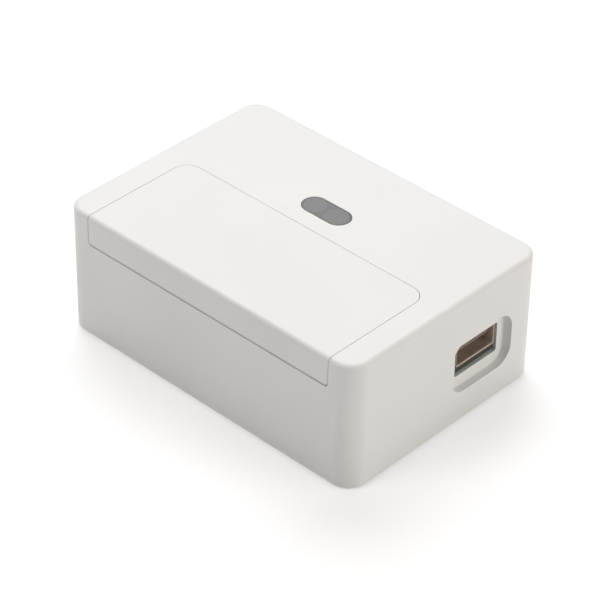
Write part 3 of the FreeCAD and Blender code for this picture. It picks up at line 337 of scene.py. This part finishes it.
def circuit_board(name, mask, copper_shine, track_pitch, turn):
    """Solder mask over copper: tracks, plated holes, white outlines, and bare laminate at the edges, painted dark as
    shade.
    """
    finish = Finish(name)
    normal_z = finish.node("ShaderNodeSeparateXYZ",
                           inputs={"Vector": Value(finish, finish.place.socket.node.outputs["Normal"])},
                           out="Z")
    face = abs(normal_z) > 0.5
    flat = finish.stretched(1.0, 1.0, 0.0)
    if turn:
        flat = finish.node("ShaderNodeVectorRotate", {"rotation_type": "Z_AXIS"},
                           {"Vector": flat, "Angle": turn})
    tracks = finish.node("ShaderNodeTexBrick", {"offset": 0.37, "squash": 1.6, "squash_frequency": 3},
                         {"Vector": flat, "Scale": 1.0, "Mortar Size": 0.11 * MM, "Mortar Smooth": 0.3,
                          "Brick Width": track_pitch * 3.1, "Row Height": track_pitch}, out="Fac")
    present = finish.noise(120, 1.0, place=flat) > 0.46
    holes = finish.cells(310, place=flat)
    hole_here = finish.node("ShaderNodeSeparateColor",
                            inputs={"Color": finish.cells(310, place=flat, out="Color")}, out="Red") > 0.62
    plated = (holes < 0.115) * hole_here
    drilled = (holes < 0.06) * hole_here
    outline = finish.node("ShaderNodeTexBrick", {"offset": 0.5, "squash": 2.0, "squash_frequency": 2},
                          {"Vector": flat, "Scale": 1.0, "Mortar Size": 0.07 * MM, "Mortar Smooth": 0.0,
                           "Brick Width": 9.0 * MM, "Row Height": 6.1 * MM}, out="Fac")
    ink = outline * (finish.noise(60, 0.0, place=flat) > 0.56)
    weave = finish.noise(1.0, 2.0, place=finish.stretched(2400, 2400, 2400))
    raised = tracks * present
    tint = finish.blend(raised, mask, copper_shine)
    tint = finish.blend(ink * 0.85, tint, tone(225, 226, 222))
    tint = finish.blend(plated, tint, tone(214, 178, 98))
    tint = finish.blend(drilled, tint, tone(20, 18, 14))
    # Painted shade: the bare laminate at the edges is coloured near-black.
    bare = finish.blend(finish.ramp(weave, 0.3, 0.7), tone(40, 43, 34), tone(54, 57, 43))
    tint = finish.blend(face, bare, tint)
    rough = finish.most(0.32 + weave * 0.1, (1 - face) * 0.8)
    normal = finish.bump(raised + plated * 1.5 - drilled * 4 + weave * 0.2, 0.03 * MM, 0.6)
    return finish.done(tint, rough, normal, Metallic=plated * (1 - drilled) * face)


def chip_epoxy():
    """Laser-bright moulded package: black epoxy with fine filler and a dot at one corner."""
    finish = Finish("chip_epoxy")
    filler = finish.cells(5200)
    mottle = finish.noise(1200, 4.0)
    x, y, _ = middle("processor")
    dot = 1 - finish.ramp(finish.ring(x - 2.6 * MM, y + 2.6 * MM), 0.3 * MM, 0.36 * MM)
    tint = finish.blend(finish.ramp(mottle, 0.3, 0.8), tone(28, 28, 30), tone(48, 48, 50))
    tint = finish.blend(dot * 0.5, tint, tone(90, 90, 92))
    normal = finish.bump(filler - dot * 2, 0.008 * MM, 0.5)
    return finish.done(tint, 0.55 + mottle * 0.15, normal, Specular_IOR_Level=0.4)


def inductor_ferrite():
    """Pressed iron powder with a slight sparkle."""
    finish = Finish("inductor_ferrite")
    powder = finish.cells(3800, out="Color")
    level = finish.node("ShaderNodeSeparateColor", inputs={"Color": powder}, out="Red")
    tint = finish.blend(level, tone(52, 52, 55), tone(88, 87, 88))
    normal = finish.bump(level, 0.02 * MM, 0.6)
    return finish.done(tint, 0.5 + level * 0.25, normal, Metallic=0.25)


def capacitor_can():
    """Aluminium can with a dark stripe on its top for the negative side."""
    finish = Finish("capacitor_can")
    _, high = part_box("power_capacitors")
    x, _, _ = middle("power_capacitors")
    on_top = finish.z > high[2] - 0.45 * MM
    stripe = on_top * (finish.x < x - 1.5 * MM)
    lines = finish.noise(1.0, 2.0, 0.6, finish.stretched(500, 500, 9000))
    tint = finish.blend(finish.ramp(lines, 0.3, 0.7), tone(196, 196, 198), tone(224, 224, 225))
    tint = finish.blend(stripe, tint, tone(34, 36, 44))
    normal = finish.bump(lines, 0.004 * MM, 0.5)
    return finish.done(tint, 0.28 + lines * 0.15, normal, Metallic=1 - stripe)


def contact_gold():
    """Gold flash over nickel, worn where the mating springs rub."""
    finish = Finish("contact_gold")
    low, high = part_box("usb_contacts")
    rub = finish.noise(1.0, 3.0, 0.7, finish.stretched(180, 5200, 900))
    outer = finish.ramp(finish.x, low[0] + 2 * MM, high[0])
    tint = finish.blend(finish.ramp(rub, 0.45, 0.75) * outer, tone(226, 188, 98), tone(206, 198, 178))
    normal = finish.bump(rub, 0.004 * MM, 0.5)
    return finish.done(tint, 0.2 + rub * 0.2, normal, Metallic=1.0)


def port_steel():
    """Tin-plated shell of the receptacle, with a painted warm reflection of the tongue far inside it and painted
    light on its inner left side.
    """
    finish = Finish("port_steel")
    low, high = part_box("usb_shell")
    lines = finish.noise(1.0, 3.0, 0.7, finish.stretched(260, 5200, 5200))
    stain = finish.noise(520, 3.0)
    # Painted reflection: far inside, the shell is coloured warm brown and loses its metal, standing for the tongue
    # mirrored in it; painted light makes the inner left side lighter still.
    deep_painted_reflection = 1 - finish.ramp(finish.x, high[0] - 6 * MM, high[0] - 0.3 * MM)
    cut_edge = finish.ramp(finish.x, high[0] - 0.25 * MM, high[0] - 0.1 * MM)
    left = 1 - finish.ramp(finish.y, low[1] + 1 * MM, low[1] + 6 * MM)
    tint = finish.blend(finish.ramp(stain, 0.35, 0.75), tone(206, 196, 186), tone(190, 176, 164))
    tint = finish.blend(deep_painted_reflection, tint, tone(214, 192, 180))
    tint = finish.blend(left * deep_painted_reflection, tint, tone(244, 206, 208))
    tint = finish.blend(cut_edge, tint, tone(172, 158, 144))
    normal = finish.bump(lines, 0.004 * MM, 0.5)
    rough = 0.42 + lines * 0.15 + cut_edge * 0.15
    return finish.done(tint, rough, normal, Metallic=0.9 - deep_painted_reflection * 0.88 - cut_edge * 0.25)


def port_tongue():
    """Brown insulator with a painted highlight that makes its front tip a little lighter."""
    finish = Finish("port_tongue")
    low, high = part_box("usb_tongue")
    grain = finish.noise(2400, 3.0, 0.6)
    patch = finish.noise(300, 2.0)
    painted_nose_highlight = finish.ramp(finish.x, high[0] - 0.5 * MM, high[0] - 0.05 * MM)
    tint = finish.blend(finish.ramp(patch, 0.35, 0.65), tone(112, 92, 88), tone(124, 102, 97))
    # Painted highlight along the front tip.
    tint = finish.blend(painted_nose_highlight * 0.5, tint, tone(124, 104, 95))
    normal = finish.bump(grain, 0.01 * MM, 0.5)
    return finish.done(tint, 0.45 + grain * 0.15, normal, Specular_IOR_Level=0.45)


def ribbon_film():
    """Amber polyimide over side-by-side copper lines."""
    finish = Finish("ribbon_film")
    low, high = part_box("sensor_ribbon")
    wave = finish.maths("SINE", (finish.x - low[0]) * (2 * math.pi / (0.5 * MM)))
    inside = (finish.x > low[0] + 0.4 * MM) * (finish.x < high[0] - 0.4 * MM)
    copper = finish.ramp(wave, -0.1, 0.3) * inside
    ripple = finish.noise(500, 2.0)
    tint = finish.blend(copper, tone(168, 96, 24), tone(206, 132, 52))
    tint = finish.blend(finish.ramp(ripple, 0.5, 0.8) * 0.4, tint, tone(150, 84, 22))
    normal = finish.bump(copper, 0.015 * MM, 0.6)
    return finish.done(tint, 0.24 + ripple * 0.12, normal, Coat_Weight=0.3)


def socket_nylon():
    """Natural nylon, slightly waxy."""
    finish = Finish("socket_nylon")
    mottle = finish.noise(900, 3.0)
    tint = finish.blend(finish.ramp(mottle, 0.3, 0.7), tone(222, 216, 200), tone(236, 231, 217))
    normal = finish.bump(mottle, 0.01 * MM, 0.4)
    return finish.done(tint, 0.42 + mottle * 0.12, normal, Subsurface_Weight=0.1,
                       Subsurface_Radius=(0.0008, 0.0006, 0.0004))


def button_cap():
    """Grey button with a dished ring worn smooth by pressing."""
    finish = Finish("button_cap")
    x, y, _ = middle("setup_button")
    from_middle = finish.ring(x, y)
    worn = 1 - finish.ramp(from_middle, 0.8 * MM, 2.2 * MM)
    grain = finish.noise(3000, 3.0, 0.6)
    rings = finish.maths("SINE", from_middle * 15000) * (from_middle < 2.1 * MM)
    tint = finish.blend(worn * 0.5, tone(126, 128, 130), tone(140, 142, 144))
    rough = 0.5 + grain * 0.12 - worn * 0.12
    normal = finish.bump(rings + grain, 0.01 * MM, 0.5)
    return finish.done(tint, rough, normal, Specular_IOR_Level=0.45)


def cell_jacket(name, node, nub_side):
    """A cell in its shrink sleeve: a dark body, a copper band at the positive end, and bare steel ends.

    nub_side is 1 where the positive end faces +X and -1 where it faces -X."""
    finish = Finish(name)
    low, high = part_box(node)
    _, y, z = middle(node)
    positive = high[0] if nub_side > 0 else low[0]
    from_positive = (positive - finish.x) * nub_side
    length = high[0] - low[0]
    from_axis = finish.root((finish.y - y) * (finish.y - y) + (finish.z - z) * (finish.z - z))
    jacket_radius = (high[2] - low[2]) / 2
    on_side = finish.ramp(from_axis, jacket_radius - 0.7 * MM, jacket_radius - 0.45 * MM)
    copper = 1 - finish.ramp(from_positive, 12.4 * MM, 12.5 * MM)
    line = finish.ramp(from_positive, 13.0 * MM, 13.1 * MM) * (1 - finish.ramp(from_positive, 13.7 * MM, 13.8 * MM))
    foot = finish.ramp(from_positive, length - 2.2 * MM, length - 2.1 * MM)
    upper = finish.ramp(finish.z, z, z + 0.2 * MM)
    plus = sign_mark(finish, from_positive, 7.2 * MM, finish.y - y, True) * upper
    minus = sign_mark(finish, from_positive, length - 6.5 * MM, finish.y - y, False) * upper
    scuff = finish.noise(1.0, 4.0, 0.65, finish.stretched(300, 1600, 1600))
    body = finish.blend(finish.ramp(scuff, 0.4, 0.75), tone(44, 50, 58), tone(58, 64, 72))
    tint = finish.blend(copper, body, tone(186, 118, 72))
    tint = finish.blend(line, tint, tone(205, 206, 208))
    tint = finish.blend(foot, tint, tone(150, 152, 156))
    tint = finish.blend(finish.most(plus, minus), tint, tone(232, 232, 230))
    steel = finish.blend(finish.ramp(scuff, 0.3, 0.7), tone(190, 190, 192), tone(214, 214, 214))
    tint = finish.blend(on_side, steel, tint)
    shine = finish.most(1 - on_side, copper * on_side * (1 - plus) * 0.6)
    wrinkle = finish.noise(1.0, 2.0, 0.5, finish.stretched(60, 900, 900))
    normal = finish.bump(wrinkle + scuff * 0.3, 0.02 * MM, 0.3)
    return finish.done(tint, 0.26 + scuff * 0.16, normal, Metallic=shine, Coat_Weight=0.2)


def sign_mark(finish, along, place, across, plus):
    """A plain plus or minus sign printed on the sleeve."""
    half = 1.6 * MM
    stroke = 0.32 * MM
    near = abs(along - place)
    beside = abs(across)
    bar = (beside < half) * (near < stroke) if not plus else (near < half) * (beside < stroke)
    if plus:
        bar = finish.most(bar, (beside < half) * (near < stroke))
    return bar


def plated_contact(name, direction):
    """Nickel-plated spring steel, bright, with a light rub where it touches the cells."""
    finish = Finish(name)
    lines = finish.noise(1.0, 3.0, 0.7, finish.stretched(*direction))
    rub = finish.noise(420, 3.0)
    tint = finish.blend(finish.ramp(rub, 0.4, 0.75), tone(214, 212, 205), tone(188, 184, 176))
    normal = finish.bump(lines, 0.003 * MM, 0.5)
    return finish.done(tint, 0.2 + rub * 0.16, normal, Metallic=1.0)


def coat(node, material):
    """Give every material slot of a CAD part the finish."""
    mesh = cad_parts[node].data
    mesh.materials.clear()
    mesh.materials.append(material)


def finish_parts():
    white = case_plastic("case_white", tone(240, 240, 238), tone(237, 237, 235))
    coat("upper_housing", white)
    coat("access_cover", case_plastic("cover_white", tone(239, 239, 237), tone(236, 236, 234)))
    coat("base_cover", case_plastic("base_white", tone(232, 232, 230), tone(228, 228, 226)))
    coat("rubber_feet", foot_rubber())
    case_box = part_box("housing_screws")
    reach = 2.2 * MM
    corners = [(x, y) for x in (case_box[0][0] + reach, case_box[1][0] - reach)
               for y in (case_box[0][1] + reach, case_box[1][1] - reach)]
    coat("housing_screws", turned_steel("case_screw_steel", tone(186, 186, 188), tone(150, 150, 152), corners))
    coat("main_board_screws", brushed_metal("board_screw_steel", tone(186, 186, 188), tone(156, 156, 158),
                                            (900, 900, 2600), 0.3))
    coat("lidar_board_screws", brushed_metal("lidar_screw_steel", tone(92, 92, 95), tone(70, 70, 72),
                                             (900, 900, 2600), 0.34))
    coat("sensor_window", window_plastic())
    coat("window_gasket", gasket_foam())
    coat("lidar_module", dark_moulding("module_black", tone(26, 26, 28), tone(40, 40, 42)))
    lens = lens_glass()
    coat("emitter_lens", lens)
    coat("receiver_lens", lens)
    green = circuit_board("main_board_mask", tone(22, 92, 56), tone(38, 118, 74), 1.5 * MM, 0.0)
    coat("main_board", green)
    coat("lidar_board", circuit_board("lidar_board_mask", tone(24, 84, 56), tone(40, 110, 76), 1.1 * MM, 0.0))
    coat("radio_board", circuit_board("radio_board_mask", tone(20, 24, 26), tone(40, 44, 46), 0.9 * MM, 0.6))
    coat("radio_shield", brushed_metal("shield_tin", tone(206, 206, 205), tone(184, 183, 181),
                                       (300, 4200, 900), 0.26))
    coat("processor", chip_epoxy())
    coat("power_regulator", dark_moulding("regulator_black", tone(30, 30, 32), tone(46, 46, 48), 4200, 0.5))
    coat("power_inductor", inductor_ferrite())
    coat("power_capacitors", capacitor_can())
    coat("usb_shell", port_steel())
    coat("usb_tongue", port_tongue())
    coat("usb_contacts", contact_gold())
    coat("sensor_ribbon", ribbon_film())
    coat("ribbon_sockets", socket_nylon())
    coat("setup_button", button_cap())
    coat("switch_base", dark_moulding("switch_black", tone(34, 34, 36), tone(52, 52, 54), 3600))
    coat("switch_plunger", dark_moulding("plunger_grey", tone(70, 70, 72), tone(88, 88, 90), 3600))
    coat("front_cell", cell_jacket("front_cell_jacket", "front_cell", -1))
    coat("rear_cell", cell_jacket("rear_cell_jacket", "rear_cell", 1))
    coat("bridge_contact", plated_contact("bridge_nickel", (2000, 300, 4200)))
    coat("positive_contact", plated_contact("positive_nickel", (2000, 4200, 300)))
    coat("negative_contact", plated_contact("negative_nickel", (2000, 4000, 320)))
    coat("cell_springs", plated_contact("spring_nickel", (2600, 900, 900)))


# Studio

def place_camera():
    """The photograph's viewpoint, fitted to the edges of the case."""
    yaw, pitch, roll = (math.radians(angle) for angle in (42.943, 36.752, 1.006))
    back = Vector((math.sin(yaw) * math.cos(pitch), -math.cos(yaw) * math.cos(pitch), math.sin(pitch)))
    right = (-back).cross(Vector((0, 0, 1))).normalized()
    up = right.cross(-back)
    across = right * math.cos(roll) + up * math.sin(roll)
    upward = up * math.cos(roll) - right * math.sin(roll)
    place = back * 651.607 * MM + across * 0.188 * MM + upward * 10.427 * MM
    place.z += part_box("upper_housing")[0][2]
    camera = bpy.data.objects.new("photo_camera", bpy.data.cameras.new("photo_camera"))
    bpy.context.scene.collection.objects.link(camera)
    turn = Matrix((across, upward, back)).transposed().to_4x4()
    camera.matrix_world = Matrix.Translation(place) @ turn
    camera.data.lens = 166.66
    camera.data.sensor_width = 36.0
    camera.data.clip_start = 0.01
    camera.data.clip_end = 10.0
    bpy.context.scene.camera = camera


def lay_floor():
    """A pale sweep that shows as white and keeps the object's shadow."""
    mesh = bpy.data.meshes.new("studio_floor")
    form = bmesh.new()
    bmesh.ops.create_grid(form, x_segments=8, y_segments=8, size=2.0)
    form.to_mesh(mesh)
    form.free()
    floor = bpy.data.objects.new("studio_floor", mesh)
    floor.location.z = cad_box[0][2] - 0.02 * MM
    bpy.context.scene.collection.objects.link(floor)
    finish = Finish("studio_floor")
    path = finish.node("ShaderNodeLightPath", out="Is Camera Ray")
    outputs = path.socket.node.outputs
    seen = finish.most(finish.most(path, Value(finish, outputs["Is Glossy Ray"])),
                       Value(finish, outputs["Is Transmission Ray"]))
    matt = finish.node("ShaderNodeBsdfDiffuse", None, {"Color": FLOOR_MATT})
    glow = finish.node("ShaderNodeEmission", None, {"Color": (1, 1, 1, 1), "Strength": FLOOR_GLOW})
    shown = finish.node("ShaderNodeAddShader", None, {0: matt, 1: glow})
    plain = finish.node("ShaderNodeBsdfDiffuse", None, {"Color": FLOOR_PLAIN})
    finish.node_out(finish.node("ShaderNodeMixShader", None, {0: seen, 1: plain, 2: shown}))
    mesh.materials.append(finish.material)


def light_studio():
    """Soft boxes: the strongest above and behind on the left, warm ones low on the right, weak ones in front."""
    world = bpy.data.worlds.new("studio_air")
    world.use_nodes = True
    bpy.context.scene.world = world
    tree = world.node_tree
    tree.nodes.clear()
    path = tree.nodes.new("ShaderNodeLightPath")
    seen = path.outputs["Is Camera Ray"]
    for ray in ("Is Glossy Ray", "Is Transmission Ray"):
        either = tree.nodes.new("ShaderNodeMath")
        either.operation = "MAXIMUM"
        tree.links.new(seen, either.inputs[0])
        tree.links.new(path.outputs[ray], either.inputs[1])
        seen = either.outputs[0]
    air = tree.nodes.new("ShaderNodeBackground")
    air.inputs["Color"].default_value = (1, 1, 1, 1)
    tree.links.new(seen, air.inputs["Strength"])
    output = tree.nodes.new("ShaderNodeOutputWorld")
    tree.links.new(air.outputs[0], output.inputs["Surface"])
    for name, place, size, power, colour in LAMPS:
        lamp = bpy.data.objects.new(name, bpy.data.lights.new(name, "AREA"))
        lamp.data.shape = "SQUARE"
        lamp.data.size = size
        lamp.data.energy = power
        lamp.data.color = colour
        lamp.location = place
        aim = Vector((0, 0, 0.017)) - Vector(place)
        lamp.rotation_euler = aim.to_track_quat("-Z", "Y").to_euler()
        bpy.context.scene.collection.objects.link(lamp)
    bpy.context.scene.view_settings.view_transform = "Standard"


FLOOR_MATT = (0.75, 0.75, 0.75, 1.0)
FLOOR_GLOW = 0.42
FLOOR_PLAIN = (0.85, 0.85, 0.85, 1.0)
NEUTRAL = (1.0, 1.0, 1.0)
WARM = (1.0, 0.95, 0.9)
COOL = (0.86, 0.9, 1.0)
LAMPS = [
    ("overhead_box", (0.0, 0.0, 1.2), 1.0, 2.8, NEUTRAL),
    ("back_left_box", (-0.6, 0.55, 1.0), 0.9, 9.9, NEUTRAL),
    ("left_box", (-1.05, -0.1, 0.7), 0.8, 1.2, WARM),
    ("right_box", (1.1, 0.25, 0.3), 0.55, 4.5, WARM),
    ("right_back_box", (0.7, 0.45, 0.4), 0.4, 0.9, WARM),
    ("front_high_box", (-0.5, -0.9, 0.9), 0.6, 1.4, COOL),
    ("front_box", (-0.2, -0.7, 0.6), 0.4, 2.0, WARM),
]

place_camera()
lay_floor()
light_studio()
finish_parts()
bpy.context.view_layer.update()
